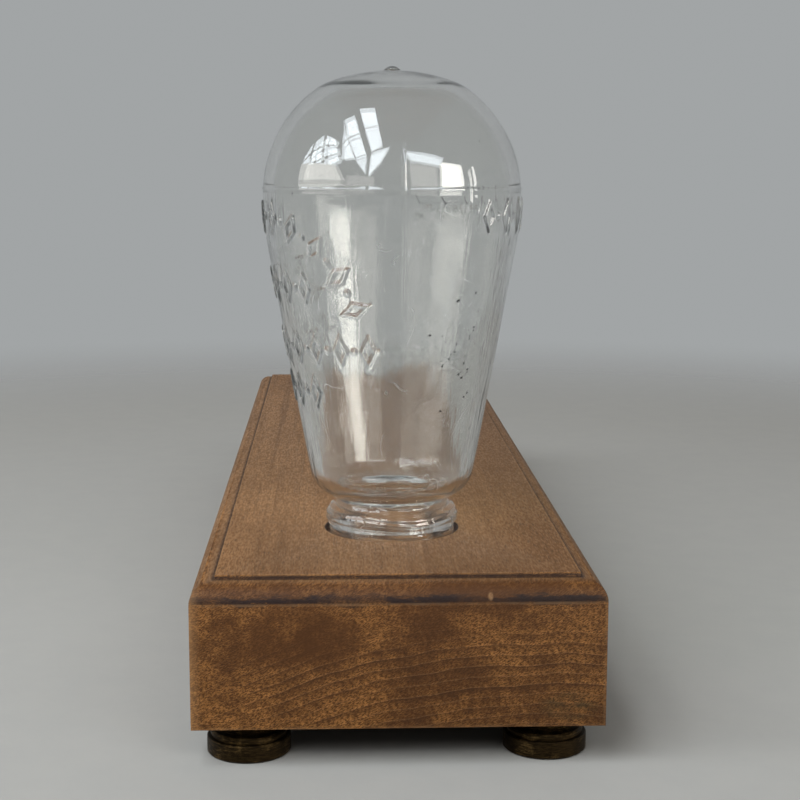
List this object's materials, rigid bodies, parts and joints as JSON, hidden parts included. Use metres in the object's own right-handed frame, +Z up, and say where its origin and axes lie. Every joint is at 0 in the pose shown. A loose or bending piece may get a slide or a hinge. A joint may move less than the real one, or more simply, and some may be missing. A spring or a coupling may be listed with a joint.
{
  "type": "glass bottle on a display base",
  "caption": "Clear glass bottle that stands mouth down in the socket of a long moulded wooden base on turned feet.",
  "frame": {"origin": "on the table, under the middle of the wooden base", "axes": "+Z up, +Y along the base from the bottle's end to its back end, +X to the right seen from the bottle's end"},
  "size_m": [0.127, 0.46, 0.2145],
  "materials": {
    "glass": "clear, lightly worn",
    "wood": "oiled, satin",
    "aged_brass": "dark patina, rubbed",
    "screw_brass": "dull"
  },
  "bodies": {
    "stand": {"base": "wood", "foot_front_left": "aged_brass", "foot_front_right": "aged_brass", "foot_back_left": "aged_brass", "foot_back_right": "aged_brass", "screw_front_left": "screw_brass", "screw_front_right": "screw_brass", "screw_back_left": "screw_brass", "screw_back_right": "screw_brass"},
    "bottle_body": {"bottle": "glass"}
  },
  "joints": [
    {"name": "bottle_lift", "type": "slide", "parent": "stand", "child": "bottle_body", "axis": [0, 0, 1], "range_m": [0, 0.06]}
  ]
}
